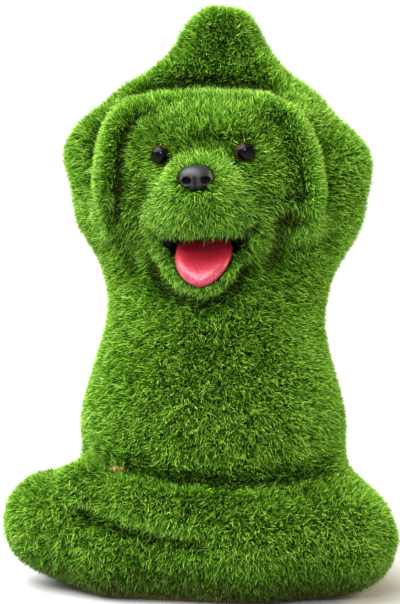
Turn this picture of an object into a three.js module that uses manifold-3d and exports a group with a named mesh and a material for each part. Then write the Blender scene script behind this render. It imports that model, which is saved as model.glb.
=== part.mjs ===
// A garden statue of a dog in a yoga pose: it sits cross-legged, holds its joined forepaws over its head
// and laughs with its tongue out. The body is one hollow resin casting, flocked all over with short
// artificial grass. Two domed eyes, a nose and a tongue are fitted into it.
//
// Millimetres, +Z up. The dog faces -Y, and +X is on the right of someone who looks it in the face.
// The body is drawn as one distance field, out of tapered limbs and ellipsoids that melt into each other,
// and the field is turned into a closed mesh. Its surface is the tips of the grass.

import * as THREE from "three";
import { edgeTable, triTable } from "three/addons/objects/MarchingCubes.js";
import { mergeVertices } from "three/addons/utils/BufferGeometryUtils.js";
import Module from "manifold-3d";

// Driving dimensions

const STATUE_HEIGHT = 286; // underside to the tips of the forepaws
const HEAD_LEAN_DEG = 3; // towards the -X shoulder
const EYE_DIAMETER = 10.5;
const EYE_BULGE = 4.2; // height of the dome over its rim
const EYE_SHANK = 4; // length of the shank behind the rim
const EYE_SUNK = 2.4; // how far the rim lies below the grass tips
const NOSE_WIDTH = 17.5;
const NOSE_HEIGHT = 14;
const NOSE_DEPTH = 13;
const NOSE_PROUD = 3; // how far the tip of the nose stands out of the grass
const TONGUE_WIDTH = 29.5;
const TONGUE_LENGTH = 32.5;
const TONGUE_THICKNESS = 6.5;
const TONGUE_DROP_DEG = 35; // slope of the lower jaw, on which the tongue lies
const FIT_GAP = 0.4; // round the eyes, nose and tongue

// How fine each mesh is
const FACE_STEP = 6.2;
const BODY_STEP = 8.6; // far from the face
const MOUTH_STEP = 4;
const TONGUE_STEP = 3.2;
const NOSE_STEP = 1.8;
const EYE_SEGMENTS = 20;
const DOME_STEPS = 7;

// The body's pose and proportions are shares of its height.
const of = (share) => share * STATUE_HEIGHT;
const at = (x, y, z) => new THREE.Vector3(of(x), of(y), of(z));

// Distance fields. Each shape is a function of a point that is negative inside.

function ellipsoid(centre, radii) {
  return (p) => {
    const x = (p.x - centre.x) / radii.x;
    const y = (p.y - centre.y) / radii.y;
    const z = (p.z - centre.z) / radii.z;
    const near = Math.hypot(x, y, z);
    const slope = Math.hypot(x / radii.x, y / radii.y, z / radii.z);
    return slope < 1e-9 ? -Math.min(radii.x, radii.y, radii.z) : (near * (near - 1)) / slope;
  };
}

// A tapered limb between two balls. flat squeezes or stretches it front to back.
function limb(from, to, startRadius, endRadius, flat = 1) {
  const along = to.clone().sub(from);
  along.y /= flat;
  const length = along.length();
  const lean = (startRadius - endRadius) / length;
  const upright = Math.sqrt(Math.max(1 - lean * lean, 0));
  along.divideScalar(length);
  return (p) => {
    const x = p.x - from.x;
    const y = (p.y - from.y) / flat;
    const z = p.z - from.z;
    const run = x * along.x + y * along.y + z * along.z;
    const rise = Math.sqrt(Math.max(x * x + y * y + z * z - run * run, 0));
    const shift = run * upright - rise * lean;
    let gap = rise * upright + run * lean - startRadius;
    if (shift < 0) gap = Math.hypot(run, rise) - startRadius;
    if (shift > length * upright) gap = Math.hypot(run - length, rise) - endRadius;
    return gap * Math.min(flat, 1);
  };
}

const JOINT_FILLET = of(0.02);
const BODY_FILLET = of(0.05);
const ARM_FILLET = of(0.03);
const FOLD_FILLET = of(0.03); // where one part only lies on another
const FACE_FILLET = of(0.022);

// Two shapes with a soft fillet where they meet
function melt(a, b, fillet) {
  const share = Math.max(fillet - Math.abs(a - b), 0) / fillet;
  return Math.min(a, b) - (share * share * fillet) / 4;
}

function meltAll(shapes, fillet) {
  return (p) => shapes.reduce((sum, shape) => melt(sum, shape(p), fillet), Infinity);
}

// A chain of limbs through joints, each given as a place and a radius
function chain(joints, flat = 1) {
  const parts = [];
  for (let i = 1; i < joints.length; i++) {
    const [start, startRadius] = joints[i - 1];
    const [end, endRadius] = joints[i];
    parts.push(limb(start, end, startRadius, endRadius, flat));
  }
  return meltAll(parts, JOINT_FILLET);
}

function bothSides(joints, flat = 1) {
  const mirror = new THREE.Vector3(-1, 1, 1);
  const mirrored = joints.map(([place, radius]) => [place.clone().multiply(mirror), radius]);
  return [chain(joints, flat), chain(mirrored, flat)];
}

// Trunk: a barrel on a broad seat, with a short tail round the rump, and cast solid between the legs below

const trunk = limb(at(-0.006, 0.052, 0.262), at(-0.009, 0.091, 0.49), of(0.238), of(0.175), 0.82);
const seat = limb(at(-0.1, 0.133, 0.105), at(0.1, 0.133, 0.105), of(0.112), of(0.112));
const tail = chain([
  [at(0.02, 0.2, 0.09), of(0.045)],
  [at(0.1, 0.215, 0.05), of(0.045)],
  [at(0.18, 0.16, 0.045), of(0.04)],
]);
const fillBelow = ellipsoid(at(0, 0.01, 0.05), at(0.32, 0.17, 0.08));

// Arms: shoulders out to the elbows, then in to the wrists behind the crown, and up through the joined paws

const leftArm = chain([
  [at(-0.108, 0.1, 0.503), of(0.076)],
  [at(-0.181, 0.105, 0.65), of(0.081)],
  [at(-0.203, 0.106, 0.742), of(0.078)],
  [at(-0.142, 0.112, 0.808), of(0.067)],
  [at(-0.058, 0.132, 0.876), of(0.059)],
  [at(-0.03, 0.145, 0.959), of(0.046)],
]);
const rightArm = chain([
  [at(0.1, 0.1, 0.503), of(0.074)],
  [at(0.172, 0.108, 0.65), of(0.079)],
  [at(0.19, 0.11, 0.728), of(0.074)],
  [at(0.116, 0.116, 0.806), of(0.07)],
  [at(0.045, 0.132, 0.875), of(0.058)],
  [at(0.017, 0.145, 0.96), of(0.046)],
]);
const wristWeb = ellipsoid(at(0, 0.13, 0.86), at(0.1, 0.055, 0.06));

// Legs: crossed, with the shin from the right knee lying on top and its paw on the left knee

const underLeg = chain([
  [at(-0.133, 0.105, 0.105), of(0.105)],
  [at(-0.2, -0.01, 0.1), of(0.098)],
  [at(-0.268, -0.055, 0.113), of(0.09)],
  [at(-0.15, -0.112, 0.07), of(0.069)],
  [at(0.1, -0.105, 0.075), of(0.07)],
]);
const upperLeg = chain([
  [at(0.133, 0.105, 0.108), of(0.108)],
  [at(0.2, -0.01, 0.112), of(0.105)],
  [at(0.248, -0.06, 0.108), of(0.086)],
  [at(0.09, -0.117, 0.11), of(0.092)],
  [at(-0.02, -0.13, 0.134), of(0.071)],
  [at(-0.12, -0.132, 0.163), of(0.056)],
  [at(-0.205, -0.106, 0.188), of(0.055)],
]);

// Head: a broad skull with a flat crown, cheeks, a short muzzle with jowls, and a dropped lower jaw

const skull = limb(at(-0.036, 0.049, 0.731), at(0.036, 0.049, 0.731), of(0.131), of(0.131), 0.8);
const cheeks = bothSides([
  [at(0.06, 0.03, 0.66), of(0.093)],
  [at(0.04, 0.03, 0.6), of(0.075)],
]);
const muzzle = ellipsoid(at(-0.002, -0.05, 0.695), at(0.084, 0.09, 0.077));
const jowls = bothSides([
  [at(0.03, -0.055, 0.665), of(0.056)],
  [at(0.052, -0.038, 0.66), of(0.048)],
]);
const throat = limb(at(0, 0.03, 0.58), at(0, -0.035, 0.515), of(0.1), of(0.06));
const jaw = limb(at(0, 0.03, 0.6), at(0, -0.052, 0.565), of(0.09), of(0.062));
const brow = bothSides([
  [at(0.05, -0.012, 0.8), of(0.03)],
  [at(0.1, 0.008, 0.78), of(0.03)],
]);

// Ears: thin flaps from the corners of the crown down to the jaw, on roots that fill the space behind them

const ears = bothSides(
  [
    [at(0.12, 0.02, 0.842), of(0.025)],
    [at(0.158, 0.008, 0.805), of(0.024)],
    [at(0.177, 0, 0.745), of(0.024)],
    [at(0.183, -0.006, 0.685), of(0.025)],
    [at(0.179, -0.01, 0.632), of(0.024)],
  ],
  1.6,
);

const earRoots = bothSides([
  [at(0.13, 0.05, 0.81), of(0.045)],
  [at(0.155, 0.045, 0.72), of(0.045)],
  [at(0.15, 0.045, 0.61), of(0.045)],
]);

// Mouth: the space between a level palate and the sloping lower jaw, as wide as the smile

const TONGUE_DROP = THREE.MathUtils.degToRad(TONGUE_DROP_DEG);
const mouthHinge = at(0, -0.014, 0.607);
const smile = ellipsoid(at(0, -0.105, 0.612), at(0.094, 0.12, 0.1));

function mouth(p) {
  const palate = p.z - of(0.622);
  const behind = p.y - mouthHinge.y;
  const jawFloor = (mouthHinge.z + behind * Math.tan(TONGUE_DROP) - p.z) * Math.cos(TONGUE_DROP);
  return -melt(melt(-smile(p), -palate, JOINT_FILLET), -jawFloor, JOINT_FILLET);
}

const trunkAndSeat = meltAll([trunk, seat, tail, fillBelow], BODY_FILLET);
const raisedArms = meltAll([leftArm, rightArm, wristWeb], ARM_FILLET);
const bareHead = meltAll([skull, ...cheeks, muzzle, ...jowls, throat, jaw, ...brow], FACE_FILLET);
const head = meltAll([bareHead, ...earRoots, ...ears], FOLD_FILLET);

// The head and all that is in it are drawn upright, and then lean together about the top of the neck.
const neck = at(0, 0, 0.6);
const headPose = new THREE.Matrix4()
  .makeTranslation(neck)
  .multiply(new THREE.Matrix4().makeRotationY(-THREE.MathUtils.degToRad(HEAD_LEAN_DEG)))
  .multiply(new THREE.Matrix4().makeTranslation(neck.clone().negate()));
const toHead = headPose.clone().invert();

function dog(p) {
  const torso = melt(trunkAndSeat(p), raisedArms(p), BODY_FILLET);
  const lap = melt(underLeg(p), upperLeg(p), FOLD_FILLET);
  const seated = melt(torso, lap, FOLD_FILLET);
  return melt(seated, head(p.clone().applyMatrix4(toHead)), FOLD_FILLET);
}

// The same shape without the folds and edges that are too fine for the mesh
function softened(field, reach) {
  const steps = [[1, 0, 0], [-1, 0, 0], [0, 1, 0], [0, -1, 0], [0, 0, 1], [0, 0, -1]];
  const moves = steps.map((step) => new THREE.Vector3(...step).multiplyScalar(reach));
  return (p) => moves.reduce((sum, move) => sum + field(p.clone().add(move)), 0) / moves.length;
}

// A field as a closed mesh. lines holds the places of the grid's planes along x, y and z, and place bends
// that grid, so that its cells need not be alike.

const CORNERS = [[0, 0, 0], [1, 0, 0], [1, 1, 0], [0, 1, 0], [0, 0, 1], [1, 0, 1], [1, 1, 1], [0, 1, 1]];
const LOWER_EDGES = [[0, 1], [1, 2], [2, 3], [3, 0]];
const UPPER_EDGES = LOWER_EDGES.map((ends) => ends.map((corner) => corner + 4));
const UPRIGHT_EDGES = [[0, 4], [1, 5], [2, 6], [3, 7]];
const EDGES = [...LOWER_EDGES, ...UPPER_EDGES, ...UPRIGHT_EDGES];
const NEVER_ZERO = 1e-3; // a vertex that falls on a knot of the grid would pinch the mesh

const RELAX_ROUNDS = 6;
const CALM_ROUNDS = 8;

function polygonise(field, lines, place = (p) => p) {
  const [nx, ny, nz] = lines.map((line) => line.length);
  const index = (i, j, k) => i + nx * (j + ny * k);
  const knots = [];
  for (const z of lines[2])
    for (const y of lines[1]) for (const x of lines[0]) knots.push(place(new THREE.Vector3(x, y, z)));
  const values = knots.map((p) => {
    const value = field(p);
    return Math.abs(value) < NEVER_ZERO ? NEVER_ZERO : value;
  });
  const points = [];
  const triangles = [];
  const onEdge = new Map();
  const vertexOn = ([i, j, k], edge) => {
    const ends = EDGES[edge].map((c) => index(i + CORNERS[c][0], j + CORNERS[c][1], k + CORNERS[c][2]));
    const [a, b] = ends.sort((m, n) => m - n);
    const key = a * values.length + b;
    if (!onEdge.has(key)) {
      onEdge.set(key, points.length);
      points.push(knots[a].clone().lerp(knots[b], values[a] / (values[a] - values[b])));
    }
    return onEdge.get(key);
  };
  for (let k = 0; k < nz - 1; k++)
    for (let j = 0; j < ny - 1; j++)
      for (let i = 0; i < nx - 1; i++) {
        let inside = 0;
        CORNERS.forEach(([x, y, z], c) => {
          if (values[index(i + x, j + y, k + z)] < 0) inside |= 1 << c;
        });
        if (edgeTable[inside] === 0) continue;
        for (let t = inside * 16; triTable[t] !== -1; t += 3)
          triangles.push([2, 1, 0].map((n) => vertexOn([i, j, k], triTable[t + n])));
      }
  const near = neighbours(points, triangles);
  relax(field, points, near, RELAX_ROUNDS);
  calm(points, near, CALM_ROUNDS);
  const position = new THREE.Float32BufferAttribute(points.flatMap((p) => p.toArray()), 3);
  return new THREE.BufferGeometry().setAttribute("position", position).setIndex(triangles.flat());
}

function slopeOf(field, p, out) {
  const h = 0.05;
  const q = new THREE.Vector3();
  out.x = field(q.set(p.x + h, p.y, p.z)) - field(q.set(p.x - h, p.y, p.z));
  out.y = field(q.set(p.x, p.y + h, p.z)) - field(q.set(p.x, p.y - h, p.z));
  out.z = field(q.set(p.x, p.y, p.z + h)) - field(q.set(p.x, p.y, p.z - h));
  return out.divideScalar(2 * h);
}

function neighbours(points, triangles) {
  const near = points.map(() => new Set());
  for (const [a, b, c] of triangles) {
    near[a].add(b).add(c);
    near[b].add(a).add(c);
    near[c].add(a).add(b);
  }
  return near;
}

// From a point to the middle of its neighbours
function pull(points, near, n) {
  const middle = new THREE.Vector3();
  for (const other of near[n]) middle.add(points[other]);
  return middle.divideScalar(near[n].size).sub(points[n]);
}

// Evens out the triangles: each point slides along the surface towards the middle of its neighbours, and
// then back onto the surface.
function relax(field, points, near, rounds) {
  const gentlest = 0.2;
  const furthest = 1;
  const slope = new THREE.Vector3();
  for (let round = 0; round < rounds; round++) {
    const moved = points.map((p, n) => {
      const step = pull(points, near, n).multiplyScalar(0.5);
      slopeOf(field, p, slope);
      const steep = Math.max(slope.length(), gentlest);
      slope.divideScalar(steep);
      step.addScaledVector(slope, -step.dot(slope));
      const next = p.clone().add(step);
      const off = THREE.MathUtils.clamp(field(next) / steep, -furthest, furthest);
      return next.addScaledVector(slope, -off);
    });
    moved.forEach((p, n) => points[n].copy(p));
  }
}

// Takes out the roughness that is finer than the mesh: each round smooths, and then swells back by as much.
function calm(points, near, rounds) {
  const [smooth, swell] = [0.5, -0.53];
  for (let round = 0; round < rounds; round++)
    for (const strength of [smooth, swell]) {
      const moved = points.map((p, n) => pull(points, near, n).multiplyScalar(strength).add(p));
      moved.forEach((p, n) => points[n].copy(p));
    }
}

function gridLine(low, high, step) {
  const count = Math.ceil((high - low) / step);
  return Array.from({ length: count + 1 }, (_, n) => low + ((high - low) * n) / count);
}

// Spreads a grid out with the distance from the face, so that the mesh is finest there.
function spreadFromFace(p) {
  const face = at(0, -0.03, 0.7);
  const faceSize = of(0.25);
  const out = p.clone().sub(face);
  const far = out.lengthSq() / (out.lengthSq() + faceSize ** 2);
  return out.multiplyScalar(THREE.MathUtils.lerp(1, BODY_STEP / FACE_STEP, far)).add(face);
}

// Solids: joins and cuts

const wasm = await Module();
wasm.setup();

function solidOf(geometry) {
  const bare = geometry.clone();
  for (const name of ["normal", "uv"]) bare.deleteAttribute(name);
  const merged = mergeVertices(bare, 1e-4);
  const vertProperties = new Float32Array(merged.attributes.position.array);
  const triVerts = new Uint32Array(merged.index.array);
  return new wasm.Manifold(new wasm.Mesh({ numProp: 3, vertProperties, triVerts }));
}

function geometryOf(solid) {
  const mesh = solid.getMesh();
  const geometry = new THREE.BufferGeometry();
  geometry.setAttribute("position", new THREE.BufferAttribute(mesh.vertProperties, mesh.numProp));
  geometry.setIndex(new THREE.BufferAttribute(mesh.triVerts, 1));
  geometry.computeVertexNormals();
  return geometry;
}

// The same closed mesh, grown outwards by gap
function swollen(geometry, gap) {
  const grown = geometry.clone();
  grown.computeVertexNormals();
  const { position, normal } = grown.attributes;
  for (let n = 0; n < position.count; n++) {
    const p = new THREE.Vector3().fromBufferAttribute(position, n);
    p.addScaledVector(new THREE.Vector3().fromBufferAttribute(normal, n), gap);
    position.setXYZ(n, p.x, p.y, p.z);
  }
  return grown;
}

// Where a straight line out of the head, from start, leaves the grass tips
function surfaceFrom(start, direction) {
  const p = start.clone();
  for (let n = 0; n < 200; n++) p.addScaledVector(direction, -dog(p.clone().applyMatrix4(headPose)) * 0.5);
  return p;
}

// Eyes: a dome on a short shank, pushed in until its rim is sunk in the grass

function eyeProfile(radius, bulge, shank) {
  const domeRadius = (radius * radius + bulge * bulge) / (2 * bulge);
  const half = Math.asin(Math.min(radius / domeRadius, 1));
  const dome = Array.from({ length: DOME_STEPS + 1 }, (_, n) => {
    const turn = (half * n) / DOME_STEPS;
    return new THREE.Vector2(domeRadius * Math.sin(turn), domeRadius * Math.cos(turn) - domeRadius + bulge);
  });
  dome[0].x = 0;
  return [...dome, new THREE.Vector2(radius, -shank), new THREE.Vector2(0, -shank)].reverse();
}

function eyeGeometry(side) {
  const gaze = new THREE.Vector3(side * 0.16, -1, 0.04).normalize();
  const turn = new THREE.Quaternion().setFromUnitVectors(new THREE.Vector3(0, 1, 0), gaze);
  const rim = surfaceFrom(at(side * 0.058, 0.06, 0.76), gaze).addScaledVector(gaze, -EYE_SUNK);
  const radius = EYE_DIAMETER / 2;
  const placed = (profile) =>
    new THREE.LatheGeometry(profile, EYE_SEGMENTS).applyQuaternion(turn).translate(rim.x, rim.y, rim.z);
  const flare = 0.2; // the socket opens outwards
  const clear = EYE_DIAMETER;
  const socket = [
    new THREE.Vector2(0, -EYE_SHANK - FIT_GAP),
    new THREE.Vector2(radius + FIT_GAP, -EYE_SHANK - FIT_GAP),
    new THREE.Vector2(radius + FIT_GAP, 0),
    new THREE.Vector2(radius + FIT_GAP + flare * clear, clear),
    new THREE.Vector2(0, clear),
  ];
  return { eye: placed(eyeProfile(radius, EYE_BULGE, EYE_SHANK)), socket: placed(socket) };
}

// Nose: a rounded wedge, broad above, with two nostrils and a groove between them. Its forms are shares of
// half its width, depth and height.

function noseField(centre) {
  const half = new THREE.Vector3(NOSE_WIDTH / 2, NOSE_DEPTH / 2, NOSE_HEIGHT / 2);
  const share = (x, y, z) => new THREE.Vector3(x, y, z).multiply(half);
  const bulb = ellipsoid(share(0, 0, 0), share(1, 1, 1));
  const nostril = ellipsoid(share(0.48, -0.8, -0.2), share(0.2, 0.42, 0.3));
  const groove = limb(share(0, -1.04, 0.05), share(0, -0.8, -1.1), 0.07 * half.x, 0.12 * half.x);
  const taper = 0.16;
  return (p) => {
    const q = p.clone().sub(centre);
    const holes = Math.min(nostril(new THREE.Vector3(Math.abs(q.x), q.y, q.z)), groove(q));
    q.x /= 1 + (taper * q.z) / half.z;
    const whole = bulb(q);
    return { whole, carved: Math.max(whole, -holes) };
  };
}

function noseSolids() {
  const facing = new THREE.Vector3(0, -1, 0.12).normalize();
  const tip = surfaceFrom(at(0, -0.03, 0.718), facing).addScaledVector(facing, NOSE_PROUD);
  const centre = tip.addScaledVector(facing, -NOSE_DEPTH / 2);
  const reach = Math.max(NOSE_WIDTH, NOSE_DEPTH, NOSE_HEIGHT) / 2 + 2 * NOSE_STEP;
  const lines = centre.toArray().map((place) => gridLine(place - reach, place + reach, NOSE_STEP));
  const field = noseField(centre);
  const nose = polygonise((p) => field(p).carved, lines);
  const uncarved = polygonise((p) => field(p).whole, lines);
  return [nose, swollen(uncarved, FIT_GAP)];
}

// Tongue: a soft slab along the lower jaw, dished down its middle, with a rounded tip that droops a little

const tongueMiddle = of(-0.005);

function tongueField(p) {
  const behind = p.y - mouthHinge.y;
  const below = mouthHinge.z - p.z;
  const aside = p.x - tongueMiddle;
  const along = below * Math.sin(TONGUE_DROP) - behind * Math.cos(TONGUE_DROP);
  const above = -behind * Math.sin(TONGUE_DROP) - below * Math.cos(TONGUE_DROP);

  const halfWidth = TONGUE_WIDTH / 2;
  const edge = TONGUE_THICKNESS / 2;
  const droopFrom = 0.55;
  const droop = 0.25 * TONGUE_LENGTH * Math.max(along / TONGUE_LENGTH - droopFrom, 0) ** 2;
  const dish = 0.13 * TONGUE_THICKNESS * (1 - Math.min(Math.abs(aside) / (droopFrom * halfWidth), 1) ** 2);
  const middle = edge - FIT_GAP - droop - dish;

  const round = Math.hypot(aside, Math.max(along - TONGUE_LENGTH + halfWidth, 0)) - halfWidth;
  const out = Math.max(round + edge, edge - along, 0);
  return Math.hypot(out, above - middle) - edge;
}

function tongueSolids() {
  const margin = 3 * TONGUE_STEP;
  const lines = [
    gridLine(tongueMiddle - TONGUE_WIDTH / 2 - margin, tongueMiddle + TONGUE_WIDTH / 2 + margin, TONGUE_STEP),
    gridLine(mouthHinge.y - TONGUE_LENGTH - margin, mouthHinge.y + margin, TONGUE_STEP),
    gridLine(mouthHinge.z - TONGUE_LENGTH - margin, mouthHinge.z + TONGUE_THICKNESS + margin, TONGUE_STEP),
  ];
  const tongue = polygonise(tongueField, lines);
  return [tongue, swollen(tongue, FIT_GAP)];
}

function mouthCutter() {
  const lines = [
    gridLine(of(-0.12), of(0.12), MOUTH_STEP),
    gridLine(of(-0.26), of(0.05), MOUTH_STEP),
    gridLine(of(0.46), of(0.66), MOUTH_STEP),
  ];
  return polygonise(mouth, lines);
}

// Body: meshed, cut flat below, and cut out for what is fitted into it

function bodySolid(cutters) {
  const lines = [
    gridLine(of(-0.34), of(0.34), FACE_STEP),
    gridLine(of(-0.24), of(0.3), FACE_STEP),
    gridLine(of(0.12), of(1.04), FACE_STEP),
  ];
  let solid = solidOf(polygonise(softened(dog, FACE_STEP / 2), lines, spreadFromFace));
  const ground = new THREE.BoxGeometry(of(2), of(2), of(0.5)).translate(0, 0, of(-0.25));
  for (const cutter of [ground, ...cutters]) solid = solid.subtract(solidOf(cutter));
  const pieces = solid.decompose().sort((a, b) => b.volume() - a.volume());
  return pieces[0];
}

// Materials

const finish = (color, roughness) => new THREE.MeshStandardMaterial({ color, roughness, metalness: 0 });
const grassGreen = finish(0x4f9a1e, 0.85);
const eyeBlack = finish(0x120c08, 0.08);
const noseBlack = finish(0x1d1d20, 0.42);
const tonguePink = finish(0xd0344e, 0.3);

function mesh(name, geometry, material) {
  const made = new THREE.Mesh(geometry, material);
  made.name = name;
  return made;
}

const eyes = { eye_left: eyeGeometry(-1), eye_right: eyeGeometry(1) };
const [nose, noseBed] = noseSolids();
const [tongue, tongueBed] = tongueSolids();
const sockets = Object.values(eyes).map(({ socket }) => socket);
const cutters = [mouthCutter(), ...sockets, noseBed, tongueBed];
for (const cutter of cutters) cutter.applyMatrix4(headPose);

const statue = new THREE.Group();
statue.add(mesh("body", geometryOf(bodySolid(cutters)), grassGreen));
const fitted = [
  ["eye_left", eyes.eye_left.eye, eyeBlack],
  ["eye_right", eyes.eye_right.eye, eyeBlack],
  ["nose", nose, noseBlack],
  ["tongue", tongue, tonguePink],
];
for (const [name, shape, material] of fitted) {
  statue.add(mesh(name, geometryOf(solidOf(shape.applyMatrix4(headPose))), material));
}

// The origin is on the underside, below the middle of the statue's box.
const box = new THREE.Box3().setFromObject(statue);
const middle = box.getCenter(new THREE.Vector3());
statue.position.set(-middle.x, -middle.y, -box.min.z);

export default statue;
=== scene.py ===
# %% [markdown]
# # A grass dog in a yoga pose
# The real thing is a garden figure, cast hollow in resin and covered with short plastic grass.
# Only five pieces are hard: the casting, two glass eyes, a nose and a tongue.
# The lesson builds them in that order, and then grows about four hundred thousand blades of
# grass. The CAD model gives every size and place. Only the finer folds, the corners of the
# mouth and a worn spot are drawn over the picture, and laid on the model from there.

# %% Load the frame
import math

import bpy
import numpy as np
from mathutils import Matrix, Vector
from mathutils.bvhtree import BVHTree


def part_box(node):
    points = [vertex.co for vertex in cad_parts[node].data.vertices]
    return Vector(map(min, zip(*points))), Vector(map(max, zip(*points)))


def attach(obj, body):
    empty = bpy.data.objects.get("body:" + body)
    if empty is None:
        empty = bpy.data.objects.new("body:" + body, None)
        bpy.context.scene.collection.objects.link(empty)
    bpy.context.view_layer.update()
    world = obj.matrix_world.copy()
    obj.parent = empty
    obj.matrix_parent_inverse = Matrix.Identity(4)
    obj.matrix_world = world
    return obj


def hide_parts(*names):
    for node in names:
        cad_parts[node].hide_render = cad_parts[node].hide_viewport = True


MM = 0.001
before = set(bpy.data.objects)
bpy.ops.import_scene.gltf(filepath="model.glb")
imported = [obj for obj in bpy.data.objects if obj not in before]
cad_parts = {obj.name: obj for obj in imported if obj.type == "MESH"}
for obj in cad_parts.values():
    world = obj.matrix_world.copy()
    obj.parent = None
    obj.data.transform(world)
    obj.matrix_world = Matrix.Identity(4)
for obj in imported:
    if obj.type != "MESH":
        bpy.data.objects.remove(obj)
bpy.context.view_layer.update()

# %% [markdown]
# ## The camera
# A product photograph is taken from well back with a long lens, so the figure hardly tapers.
# The camera stands a metre and a half away, a little to the figure's left and a little above
# it. The picture is 400 by 604 pixels, and two of its pixels are a millimetre at the figure.

# %% Camera
FRAME_WIDTH, FRAME_HEIGHT = 400, 604
PIXELS_PER_MM = 2
AZIMUTH, ELEVATION = math.radians(10), math.radians(9)
DISTANCE = 1.5
AIM = Vector((0, 0, 0.143))
AIM_PIXEL = (208, 300)

toward_camera = Vector((
    math.sin(AZIMUTH) * math.cos(ELEVATION),
    -math.cos(AZIMUTH) * math.cos(ELEVATION),
    math.sin(ELEVATION),
))
view_right = Vector((math.cos(AZIMUTH), math.sin(AZIMUTH), 0))
view_up = toward_camera.cross(view_right)


def in_view_plane(x, y):
    """The point of the plane through the aim that shows at a pixel of the picture."""
    step = MM / PIXELS_PER_MM
    return AIM + view_right * (x - AIM_PIXEL[0]) * step - view_up * (y - AIM_PIXEL[1]) * step


lens = bpy.data.cameras.new("camera")
lens.sensor_width = 36
lens.lens = lens.sensor_width * DISTANCE / (FRAME_HEIGHT * MM / PIXELS_PER_MM)
camera = bpy.data.objects.new("camera", lens)
bpy.context.scene.collection.objects.link(camera)
bpy.context.scene.camera = camera
camera.location = in_view_plane(FRAME_WIDTH / 2, FRAME_HEIGHT / 2) + toward_camera * DISTANCE
camera.rotation_euler = toward_camera.to_track_quat("Z", "Y").to_euler()
print("The lens is", round(lens.lens), "mm long")

# %% [markdown]
# ## Which way the head faces
# The head leans a few degrees. The line from eye to eye gives that lean, so the nose and the
# tongue take their own left, right and up from the eyes rather than from a second number.

# %% Directions of the head
def middle(node):
    low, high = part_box(node)
    return (low + high) / 2


eye_middles = {name: middle(name) for name in ("eye_left", "eye_right")}
across = (eye_middles["eye_right"] - eye_middles["eye_left"]).normalized()
forward = Vector((0, -1, 0))
head_up = forward.cross(across)
across_axis, forward_axis, up_axis = np.array(across), np.array(forward), np.array(head_up)
print("The head leans", round(math.degrees(math.asin(across.z)), 1), "degrees")

# %% [markdown]
# ## Working on meshes as arrays
# A mesh of forty thousand points is slow to change one point at a time in Python. The helpers
# here read it into an array, work on all points at once and write it back.
# Evening a mesh moves each point towards the mean of its neighbours, which takes out ripples.

# %% Mesh helpers
def points_of(mesh):
    values = np.empty(len(mesh.vertices) * 3)
    mesh.vertices.foreach_get("co", values)
    return values.reshape(-1, 3)


def edges_of(mesh):
    values = np.empty(len(mesh.edges) * 2, np.int32)
    mesh.edges.foreach_get("vertices", values)
    return values.reshape(-1, 2)


def triangles_of(mesh):
    mesh.calc_loop_triangles()
    values = np.empty(len(mesh.loop_triangles) * 3, np.int32)
    mesh.loop_triangles.foreach_get("vertices", values)
    return values.reshape(-1, 3)


def summed(index, values, count):
    """Adds up the rows of values that share an index."""
    return np.stack([np.bincount(index, values[:, k], count) for k in range(values.shape[1])], 1)


def unit(vectors):
    return vectors / np.maximum(np.linalg.norm(vectors, axis=-1, keepdims=True), 1e-12)


def evened(values, edges, rounds, share=0.5):
    """Moves each row a share of the way to the mean of its neighbours, some rounds over."""
    ends = np.concatenate([edges, edges[:, ::-1]])
    neighbours = np.bincount(ends[:, 0], minlength=len(values))[:, None]
    for _ in range(rounds):
        mean = summed(ends[:, 0], values[ends[:, 1]], len(values)) / np.maximum(neighbours, 1)
        values = values + share * (mean - values)
    return values


def normals_of(points, triangles):
    a, b, c = (points[triangles[:, k]] for k in range(3))
    faces = np.cross(b - a, c - a)
    return unit(summed(triangles.ravel(), np.repeat(faces, 3, 0), len(points)))


def remeshed(name, sources, voxel):
    """Joins closed CAD solids into one even mesh with cells of the given size."""
    points, triangles, first = [], [], 0
    for source in sources:
        points.append(points_of(source))
        triangles.append(triangles_of(source) + first)
        first += len(points[-1])
    joined = bpy.data.meshes.new(name)
    joined.from_pydata(np.concatenate(points).tolist(), [], np.concatenate(triangles).tolist())
    holder = bpy.data.objects.new(name, joined)
    bpy.context.scene.collection.objects.link(holder)
    weld = holder.modifiers.new("weld", "WELD")
    weld.merge_threshold = 1e-6
    cells = holder.modifiers.new("cells", "REMESH")
    cells.mode = "VOXEL"
    cells.voxel_size = voxel
    graph = bpy.context.evaluated_depsgraph_get()
    result = bpy.data.meshes.new_from_object(holder.evaluated_get(graph))
    bpy.data.objects.remove(holder)
    bpy.data.meshes.remove(joined)
    return result


def smooth(mesh):
    mesh.polygons.foreach_set("use_smooth", np.ones(len(mesh.polygons), bool))


def tree_of(points, triangles):
    """A search tree that finds the nearest point of a surface, or where a ray meets it."""
    return BVHTree.FromPolygons(points.tolist(), triangles.tolist())


def point_map(mesh, name, shares):
    """A map whose u is a share that each point of the mesh has."""
    layer = mesh.uv_layers.new(name=name)
    index = np.empty(len(mesh.loops), np.int32)
    mesh.loops.foreach_get("vertex_index", index)
    pairs = np.stack([shares[index], np.full(len(index), 0.5)], 1)
    layer.data.foreach_set("uv", pairs.astype(np.float32).ravel())


def new_piece(name, mesh, material=None, stands_for=()):
    """A shown piece of the figure, which rides on its only body."""
    mesh.name = name
    piece = bpy.data.objects.new(name, mesh)
    bpy.context.scene.collection.objects.link(piece)
    if material:
        mesh.materials.append(material)
    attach(piece, "root")
    if stands_for:
        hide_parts(*stands_for)


# %% [markdown]
# ## The surface that the tips of the grass make
# The CAD body ends where the grass ends. Its flat faces are a few millimetres long, so it is
# remeshed finely with the eyes and the nose joined in, which closes their sockets, and evened.
# Then its creases are cut deeper: where a point lies below the mean of its surroundings, it
# moves further in. On the real figure the grass parts there and the eye sees down to the roots.

# %% Tip surface
CELL = 1.9 * MM
CREASE_REACH = 30
CREASE_GAIN = 1.0
CREASE_LIMIT = 2.5 * MM
GROUND_BAND = 0.6 * MM

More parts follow.
